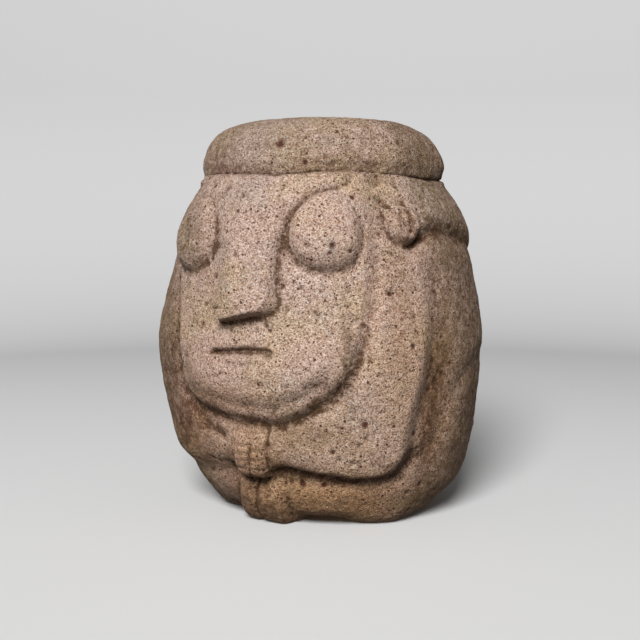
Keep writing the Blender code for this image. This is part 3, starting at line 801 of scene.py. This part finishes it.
def groove_wear(form, points, degrees):
    """How far wear has filled the groove under the band: most on the right, and not behind."""
    groove = form.height - form.band_height
    near = bump((points[:, 2] - groove + GROOVE_DROP) / GROOVE_REACH)
    worn = 0.45 + 0.25 * ramp(degrees, 85.0, 65.0) + 0.30 * ramp(degrees, -25.0, -55.0)
    in_front = ramp(degrees, -150.0, -110.0) * ramp(degrees, 160.0, 110.0)
    return GROOVE_FILLED * worn * in_front * near


def underside_lift(points, angle):
    """How far the underside is off the ground: shallow arches each side of the strip."""
    lift = np.zeros(len(points))
    degrees = np.degrees(angle)
    reach = np.hypot(points[:, 0], points[:, 1]) / (BASE_WIDTH / 2)
    for start, full, fall, end in ARCHES:
        arch = ramp(degrees, start, full) * ramp(degrees, end, fall)
        lift += arch * ramp(reach, 0.45, 0.85)
    return ARCH_RISE * lift


def noise_at(points, wavelength, offset):
    """Soft noise from -1 to 1 at every point."""
    shift = Vector((offset, 2 * offset, 3 * offset))
    return np.array([noise.noise(Vector(p) / wavelength + shift) for p in points])


def carved_points(form, points, pressed, normals, angle):
    """Every point of the pressed block, moved to its place on the finished figure."""
    wavelength, reach = LINE_WANDER
    wander = np.stack([noise_at(pressed, wavelength, offset) for offset in (3.0, 5.0)], axis=1)
    chart = Chart(form, angle, points[:, 2], reach * form.wear * wander)
    upright = 1.0 - np.abs(normals[:, 2]) ** 3
    out = relief_of(chart) * upright
    pads = sum(bump((chart.degrees - middle) / half) for middle, half in FOOT_PADS)
    out += groove_wear(form, points, chart.degrees)
    out += PAD_RELIEF * pads * smooth(1.0 - points[:, 2] / (0.09 * form.height)) * upright
    for number, (wavelength, height) in enumerate(WEAR):
        out += form.wear * height * noise_at(pressed, wavelength, 7.0 + number)
    for degrees, share, radius, depth in HOLES:
        gap = np.hypot(*chart.from_place(degrees, share))
        out -= depth * bump(gap / radius)
    carved = pressed + normals * out[:, None]
    carved[:, 2] = np.clip(carved[:, 2], 0.0, form.height)
    lift = underside_lift(points, angle) - GROUND_CUT
    carved[:, 2] += lift * smooth(1.0 - carved[:, 2] / (2.5 * ARCH_RISE))
    carved[:, 2] = np.clip(carved[:, 2], 0.0, form.height)
    middle = (STONE_LOW + STONE_HIGH) / 2
    carved[:, :2] -= (carved[:, :2].min(axis=0) + carved[:, :2].max(axis=0)) / 2
    carved[:, :2] += middle[:2]
    return carved, chart


def scattered_pits(form, points, normals):
    """Small pits at random places, and how far each point is down in one."""
    random = np.random.default_rng(PIT_SEED)
    tree = kdtree.KDTree(len(points))
    for number, point in enumerate(points):
        tree.insert(point, number)
    tree.balance()
    sunk = np.zeros(len(points))
    low, high = PIT_SIZES
    for centre in random.integers(0, len(points), form.pits):
        radius = low + (high - low) * random.random() ** 3
        for _, number, gap in tree.find_range(points[centre], 2.0 * radius):
            sunk[number] = max(sunk[number], math.exp(-((gap / radius) ** 2)) * radius / high)
    sunk *= points[:, 2] > PIT_CLEARANCE
    return points - normals * (PIT_DEPTH * sunk)[:, None], sunk


def blurred(values, edges, rounds):
    """Values averaged with their neighbours' again and again."""
    first, second = edges.T
    ends = np.concatenate([first, second])
    others = np.concatenate([second, first])
    count = np.bincount(ends, minlength=len(values))[:, None] + 1.0
    for _ in range(rounds):
        total = [np.bincount(ends, column[others], len(values)) for column in values.T]
        values = (values + np.stack(total, axis=1)) / count
    return values


def stain_of(chart, places):
    """One stain layer, from its places."""
    stain = np.zeros(chart.up.shape)
    for degrees, share, wide, high, amount in places:
        across, up = chart.from_place(degrees, share)
        stain = np.maximum(stain, amount * bump(np.hypot(across / wide, up / high)))
    return stain


def mesh_numbers(bm):
    """The mesh's points, normals and edges as arrays."""
    bm.normal_update()
    points = np.array([v.co[:] for v in bm.verts])
    normals = np.array([v.normal[:] for v in bm.verts])
    bm.verts.index_update()
    edges = np.array([(e.verts[0].index, e.verts[1].index) for e in bm.edges])
    return points, normals, edges


def move(bm, spots):
    """Puts each of the mesh's points at its spot."""
    for vertex, spot in zip(bm.verts, spots):
        vertex.co = spot


def stone_layers(form, chart, points, normals, edges, sunk):
    """How stained, hollow and weathered each point is, and where shade is painted, for the stone's
    finish.
    """
    coarser = (detail(TURN_STEPS) / TURN_STEPS) ** 2
    rounds = [max(1, round(coarser * count)) for count in BLUR_ROUNDS]
    # Brown in the hollows: partly the stone's patina, partly painted shade in creases and
    # recesses.
    depths = [((blurred(points, edges, n) - points) * normals).sum(axis=1) for n in rounds]
    hollow = sum(
        share * ramp(depth, low, high)
        for depth, (low, high, share) in zip(depths, HOLLOW_STEPS)
    )
    layers = {name: stain_of(chart, places) for name, places in STAINS.items()}
    share = points[:, 2] / form.height
    # Painted shade: faces turned down, above the foot, are browned.
    facing = blurred(normals, edges, rounds[0])[:, 2]
    under = ramp(facing, -0.05, -0.55) * ramp(share, 0.12, 0.18)
    layers["patina_and_shade"] = np.clip(layers["patina_and_shade"] + hollow + 0.38 * under, 0.0, 1.0)
    # Painted shade in the pits and holes.
    layers["pit_shade"] = 0.35 * smooth(1.2 * sunk)
    for degrees, level, radius, _ in HOLES:
        gap = np.hypot(*chart.from_place(degrees, level))
        layers["pit_shade"] = np.maximum(layers["pit_shade"], smooth(1.4 - gap / radius))
    layers["ochre"] = np.clip(layers["ochre"] + 0.12 * ramp(share, 0.60, 0.30), 0.0, 1.0)
    # Painted shade: both flanks are darkened where they turn away from the key light, along with
    # some weathering.
    left = ramp(chart.degrees, 58.0, 72.0)
    right = ramp(chart.degrees, -28.0, -50.0) * ramp(share, 0.66, 0.42)
    right += ramp(chart.degrees, -56.0, -76.0)
    # Painted shade: darker towards the bottom.
    low = 0.35 * ramp(share, 0.22, 0.06)
    band = 0.45 * ramp(share, 0.845, 0.865)
    # On the top the angles run together, so the sides' painted shade and weathering end before it.
    start, full = TOP_FADE
    on_top = ramp(np.hypot(points[:, 0], points[:, 1]), start, full) * ramp(share, 0.5, 0.6)
    sides = np.maximum(left, right) * (1 - on_top) + 0.25 * on_top
    layers["weather_and_shade"] = np.clip(sides + low + band + layers["weather_and_shade"], 0.0, 1.0)
    return layers


def carved_stone(form):
    """The whole figure as one closed surface, with its finish's layers as attributes."""
    bm = spun(block_profile(form), detail(TURN_STEPS))
    points = np.array([v.co[:] for v in bm.verts])
    turn = np.arctan2(points[:, 0], -points[:, 1])
    angle = turn - FINE_SHARE * np.sin(turn - FINE_SIDE) - FINE_SHARE * math.sin(FINE_SIDE)
    angle = np.mod(angle + math.pi, math.tau) - math.pi
    pressed = pressed_to_plan(form, points, angle)
    pressed[:, 2] += band_wander(form, points, angle)
    move(bm, pressed)
    bm.normal_update()
    normals = np.array([v.normal[:] for v in bm.verts])
    carved, chart = carved_points(form, points, pressed, normals, angle)
    move(bm, carved)
    points, normals, _ = mesh_numbers(bm)
    points, sunk = scattered_pits(form, points, normals)
    move(bm, points)
    points, normals, edges = mesh_numbers(bm)
    layers = stone_layers(form, chart, points, normals, edges, sunk)
    mesh = bpy.data.meshes.new("uncut_stone")
    bm.to_mesh(mesh)
    bm.free()
    for name, values in layers.items():
        layer = mesh.attributes.new(name, "FLOAT", "POINT")
        layer.data.foreach_set("value", values.astype(np.float32))
    return thinned(mesh)


def thinned(mesh):
    """The stone with its triangles kept where the surface is busiest."""
    full = bpy.data.objects.new("uncut_stone", mesh)
    bpy.context.scene.collection.objects.link(full)
    share = TRIANGLES / (2 * len(mesh.polygons))
    if share < 1.0:
        full.modifiers.new("thin", "DECIMATE").ratio = share
    ready = full.evaluated_get(bpy.context.evaluated_depsgraph_get())
    stone = bpy.data.meshes.new_from_object(ready)
    stone.name = "carved_stone"
    bpy.data.objects.remove(full)
    bpy.data.meshes.remove(mesh)
    stone.shade_smooth()
    return bpy.data.objects.new("carved_stone", stone)


class Recipe:
    """Adds nodes to a material and joins them up."""

    def __init__(self, name):
        self.material = bpy.data.materials.new(name)
        self.material.use_nodes = True
        self.tree = self.material.node_tree
        self.shader = self.tree.nodes["Principled BSDF"]
        self.where = self.add("TexCoord").outputs["Object"]

    def set(self, socket, value):
        """Joins a socket to another one, or gives it a value."""
        if isinstance(value, bpy.types.NodeSocket):
            self.tree.links.new(value, socket)
        else:
            socket.default_value = value

    def add(self, kind, settings=None, **inputs):
        """A new node with its settings and its named inputs."""
        node = self.tree.nodes.new("ShaderNode" + kind)
        for name, value in (settings or {}).items():
            setattr(node, name, value)
        for name, value in inputs.items():
            self.set(node.inputs[name.replace("_", " ")], value)
        return node

    def maths(self, operation, first, second=0.0):
        node = self.add("Math", {"operation": operation})
        self.set(node.inputs[0], first)
        self.set(node.inputs[1], second)
        return node.outputs[0]

    def times(self, first, second):
        return self.maths("MULTIPLY", first, second)

    def most(self, first, second):
        return self.maths("MAXIMUM", first, second)

    def spread(self, value, low, high, to_low=0.0, to_high=1.0):
        """A value taken from one range to another, with soft ends."""
        node = self.add("MapRange", {"interpolation_type": "SMOOTHSTEP"}, Value=value)
        ends = {"From Min": low, "From Max": high, "To Min": to_low, "To Max": to_high}
        for name, amount in ends.items():
            self.set(node.inputs[name], amount)
        return node.outputs[0]

    def mix(self, share, first, second, blend="MIX"):
        """The second colour over the first; these are the numbers of the node's colour sockets."""
        node = self.add("Mix", {"data_type": "RGBA", "blend_type": blend})
        self.set(node.inputs[0], share)
        self.set(node.inputs[6], first)
        self.set(node.inputs[7], second)
        return node.outputs[2]

    def tinted(self, tone, tint):
        return self.mix(1.0, tone, tint, "MULTIPLY")

    def noise(self, size, detail=2.0, where=None, roughness=0.5, output="Fac"):
        inputs = {"Scale": 1.0 / size, "Detail": detail, "Roughness": roughness}
        return self.add("TexNoise", Vector=where or self.where, **inputs).outputs[output]

    def cells(self, size, where):
        return self.add("TexVoronoi", Vector=where, Scale=1.0 / size)

    def spots(self, spacing, radius, share, where):
        """Round spots of uneven size in some of the cells: 1 in a spot and 0 outside."""
        cells = self.cells(spacing, where)
        pick = self.add("SeparateColor", Color=cells.outputs["Color"])
        chosen = self.maths("LESS_THAN", pick.outputs[0], share)
        size = self.spread(pick.outputs[1], 0.0, 1.0, 0.45 * radius / spacing, radius / spacing)
        spot = self.spread(cells.outputs["Distance"], size, self.times(size, 0.55))
        return self.times(spot, chosen)

    def layer(self, name):
        """One of the mesh's own stain layers."""
        return self.add("Attribute", {"attribute_name": name}).outputs["Fac"]


def opaque(rgb):
    """A colour with its alpha."""
    return (*rgb, 1.0)


def shaken_places(stone, grain):
    """The places on the stone, moved a little to and fro, so that the grains are uneven."""
    shifted = stone.add("VectorMath", {"operation": "MULTIPLY_ADD"})
    stone.set(shifted.inputs[0], stone.noise(1.6 * grain, output="Color"))
    shifted.inputs[1].default_value = [0.6 * grain] * 3
    stone.set(shifted.inputs[2], stone.where)
    return shifted.outputs[0]


def stained(stone, finish):
    """The stone's colour before its grain, with painted shade in its weathering and patina, and
    how much brown there is in it.
    """
    sandy = stone.spread(stone.noise(0.055, 3.0), 0.42, 0.70)
    tone = stone.mix(sandy, opaque(finish.pink), opaque(finish.sand))
    grey = opaque(finish.grey)
    cloud = stone.spread(stone.noise(0.030, 4.0, roughness=0.65), 0.50, 0.72)
    tone = stone.mix(stone.times(cloud, 0.30), tone, grey)
    tone = stone.mix(stone.times(stone.layer("grey"), 0.8), tone, grey)
    tone = stone.mix(stone.times(stone.layer("pale"), 0.6), tone, opaque(finish.light))

    ragged = stone.spread(stone.noise(0.009, 4.0, roughness=0.75), 0.36, 0.64, 0.45, 1.30)
    # Weathering, with painted shade on the flanks and towards the bottom, dulls the colour.
    weather_and_shade = stone.times(stone.layer("weather_and_shade"), ragged)
    tone = stone.mix(weather_and_shade, tone, stone.tinted(tone, opaque(DULLED_AND_SHADED)))
    tone = stone.mix(stone.layer("ochre"), tone, stone.tinted(tone, opaque(YELLOWED)))
    # Brown that is partly patina and partly painted shade in hollows, creases and undersides.
    brown = stone.maths("MINIMUM", stone.times(stone.layer("patina_and_shade"), ragged), 0.92)
    tone = stone.mix(brown, tone, opaque(finish.patina_and_shade))
    rust = stone.times(stone.layer("rust"), ragged)
    return stone.mix(rust, tone, opaque(finish.rust)), brown


def dark_specks(stone, grain, where):
    """Where the dark grains and open pores are: fine ragged ones and three sizes of spots."""
    ragged = stone.spread(stone.noise(1.6 * grain, roughness=0.6), 0.625, 0.665)
    small = stone.spots(3.0 * grain, 1.15 * grain, 0.62, where)
    large = stone.spots(7.0 * grain, 1.70 * grain, 0.55, where)
    largest = stone.spots(16.0 * grain, 3.4 * grain, 0.45, where)
    torn = stone.spread(stone.noise(2.2 * grain), 0.42, 0.55)
    spots = stone.most(stone.times(small, 0.90), stone.most(large, stone.times(largest, torn)))
    return stone.most(stone.times(ragged, 0.55), spots)


def stone_material(finish):
    """Coarse volcanic stone: pinkish grains, dark specks and pits, and brown in the hollows and
    undersides that is partly patina and partly painted shade.
    """
    stone = Recipe("carved_volcanic_stone")
    grain = finish.grain
    shaken = shaken_places(stone, grain)
    tone, brown = stained(stone, finish)

    # The grains differ in tone, least in red and most in blue.
    cells = stone.add("SeparateColor", Color=stone.cells(grain, shaken).outputs["Color"])
    mottle = stone.spread(cells.outputs[0], 0.0, 1.0, 0.52, 1.46)
    mottle = stone.times(mottle, stone.spread(stone.noise(0.005), 0.3, 0.7, 0.88, 1.12))
    red, blue = stone.maths("POWER", mottle, 0.75), stone.maths("POWER", mottle, 1.20)
    tint = stone.add("CombineColor", Red=red, Green=mottle, Blue=blue)
    tone = stone.tinted(tone, tint.outputs[0])
    flecks = stone.spots(3.0 * grain, 0.9 * grain, 0.40, shaken)
    flecks = stone.times(flecks, stone.maths("SUBTRACT", 1.0, brown))
    tone = stone.mix(stone.times(flecks, 0.55), tone, opaque(finish.light))
    specks = dark_specks(stone, grain, shaken)
    # Dark grains, and painted shade in the pits and holes.
    sunk = stone.most(stone.times(specks, 0.95), stone.layer("pit_shade"))
    tone = stone.mix(sunk, tone, opaque(finish.dark))
    stone.set(stone.shader.inputs["Base Color"], tone)

    rough = stone.spread(cells.outputs[1], 0.0, 1.0, finish.roughness - 0.10, finish.roughness)
    stone.set(stone.shader.inputs["Roughness"], rough)
    stone.shader.inputs["Specular IOR Level"].default_value = 0.25

    fine = stone.noise(0.9 * grain, 3.0, shaken, 0.6)
    height = stone.maths("ADD", fine, stone.times(stone.noise(3.5 * grain), 1.2))
    height = stone.maths("ADD", height, stone.times(cells.outputs[2], 0.45))
    height = stone.maths("SUBTRACT", height, stone.times(specks, 0.9))
    relief = stone.add("Bump", Strength=1.0, Distance=finish.depth, Height=height)
    stone.set(stone.shader.inputs["Normal"], relief.outputs[0])
    return stone.material


def floor_material(studio):
    """Plain matt studio paper."""
    paper = Recipe("studio_paper")
    paper.shader.inputs["Base Color"].default_value = opaque(studio.floor)
    paper.shader.inputs["Roughness"].default_value = 0.9
    paper.shader.inputs["Specular IOR Level"].default_value = 0.2
    return paper.material


def studio_floor(studio):
    """A round floor that curves up into a low wall, so that no edge shows from any side."""
    turn = studio.reach / 2
    outline = [(0.0, 0.0), (studio.reach, 0.0)]
    for step in range(1, WALL_STEPS + 1):
        bend = math.radians(90.0 * step / WALL_STEPS)
        outline.append((studio.reach + turn * math.sin(bend), turn * (1 - math.cos(bend))))
    outline.append((studio.reach + turn, 1.6 * turn))
    bm = spun(outline, FLOOR_STEPS)
    if bm.faces[0].normal.z < 0:
        bmesh.ops.reverse_faces(bm, faces=bm.faces)
    mesh = bpy.data.meshes.new("studio_floor")
    bm.to_mesh(mesh)
    bm.free()
    mesh.shade_smooth()
    mesh.materials.append(floor_material(studio))
    return bpy.data.objects.new("studio_floor", mesh)


def direction(azimuth, elevation):
    """From the figure towards a place round it; azimuth 0 is in front, and more is to its left."""
    flat = math.cos(elevation)
    return Vector((math.sin(azimuth) * flat, -math.cos(azimuth) * flat, math.sin(elevation)))


def aimed(thing, away, distance):
    """Puts a camera or light at a distance from the picture's middle, looking at it."""
    thing.location = Vector(MIDDLE) + away * distance
    thing.rotation_euler = (-away).to_track_quat("-Z", "Y").to_euler()
    bpy.context.scene.collection.objects.link(thing)
    return thing


def soft_light(name, azimuth, elevation, distance, size, power):
    """A round area light; its angles are in degrees."""
    light = bpy.data.lights.new(name, "AREA")
    light.shape = "DISK"
    light.size = size
    light.energy = power
    away = direction(math.radians(azimuth), math.radians(elevation))
    return aimed(bpy.data.objects.new(name, light), away, distance)


class STONE_OT_carve_figure(bpy.types.Operator):
    """Carve the figure out of its block and give the stone its finish"""

    bl_idname = "stone.carve_figure"
    bl_label = "Carve Figure"

    def execute(self, context):
        figure = carved_stone(context.scene.stone_form)
        figure.data.materials.append(stone_material(context.scene.stone_finish))
        context.scene.collection.objects.link(figure)
        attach(figure, "root")
        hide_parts("stone_figure")
        return {"FINISHED"}


class STONE_OT_set_studio(bpy.types.Operator):
    """Lay the floor and set the lights and the camera"""

    bl_idname = "stone.set_studio"
    bl_label = "Set Studio"

    def execute(self, context):
        scene = context.scene
        studio = scene.stone_studio
        floor = studio_floor(studio)
        # Pale paper throws light up into the hollows; the dark undersides need it left out.
        floor.visible_diffuse = False
        scene.collection.objects.link(floor)
        soft_light("key_light", *KEY_LIGHT, studio.key)
        world = bpy.data.worlds.new("studio_air")
        world.use_nodes = True
        air = world.node_tree.nodes["Background"]
        air.inputs["Color"].default_value = opaque(WHITE)
        air.inputs["Strength"].default_value = studio.fill
        scene.world = world
        lens = bpy.data.cameras.new("camera")
        lens.sensor_width = 36.0
        lens.lens = lens.sensor_width * studio.distance / studio.view
        lens.clip_start = 0.01
        away = direction(studio.azimuth, studio.elevation)
        scene.camera = aimed(bpy.data.objects.new("camera", lens), away, studio.distance)
        scene.view_settings.view_transform = "Standard"
        return {"FINISHED"}


class STONE_PT_figure(bpy.types.Panel):
    """The figure's sizes and colours, and the buttons that make it"""

    bl_idname = "STONE_PT_figure"
    bl_label = "Stone Figure"
    bl_space_type = "VIEW_3D"
    bl_region_type = "UI"
    bl_category = "Stone Figure"

    def draw(self, context):
        scene = context.scene
        groups = [
            (STONE_OT_carve_figure, (scene.stone_form, scene.stone_finish)),
            (STONE_OT_set_studio, (scene.stone_studio,)),
        ]
        for operator, settings in groups:
            box = self.layout.box()
            for group in settings:
                for name in group.bl_rna.properties.keys():
                    if name not in {"rna_type", "name"}:
                        box.prop(group, name)
            box.operator(operator.bl_idname)


CLASSES = (
    StoneForm,
    StoneFinish,
    StudioSettings,
    STONE_OT_carve_figure,
    STONE_OT_set_studio,
    STONE_PT_figure,
)


def register():
    for cls in CLASSES:
        bpy.utils.register_class(cls)
    bpy.types.Scene.stone_form = bpy.props.PointerProperty(type=StoneForm)
    bpy.types.Scene.stone_finish = bpy.props.PointerProperty(type=StoneFinish)
    bpy.types.Scene.stone_studio = bpy.props.PointerProperty(type=StudioSettings)


def unregister():
    del bpy.types.Scene.stone_studio
    del bpy.types.Scene.stone_finish
    del bpy.types.Scene.stone_form
    for cls in reversed(CLASSES):
        bpy.utils.unregister_class(cls)


def main():
    register()
    bpy.ops.stone.carve_figure()
    bpy.ops.stone.set_studio()


if __name__ == "__main__":
    main()
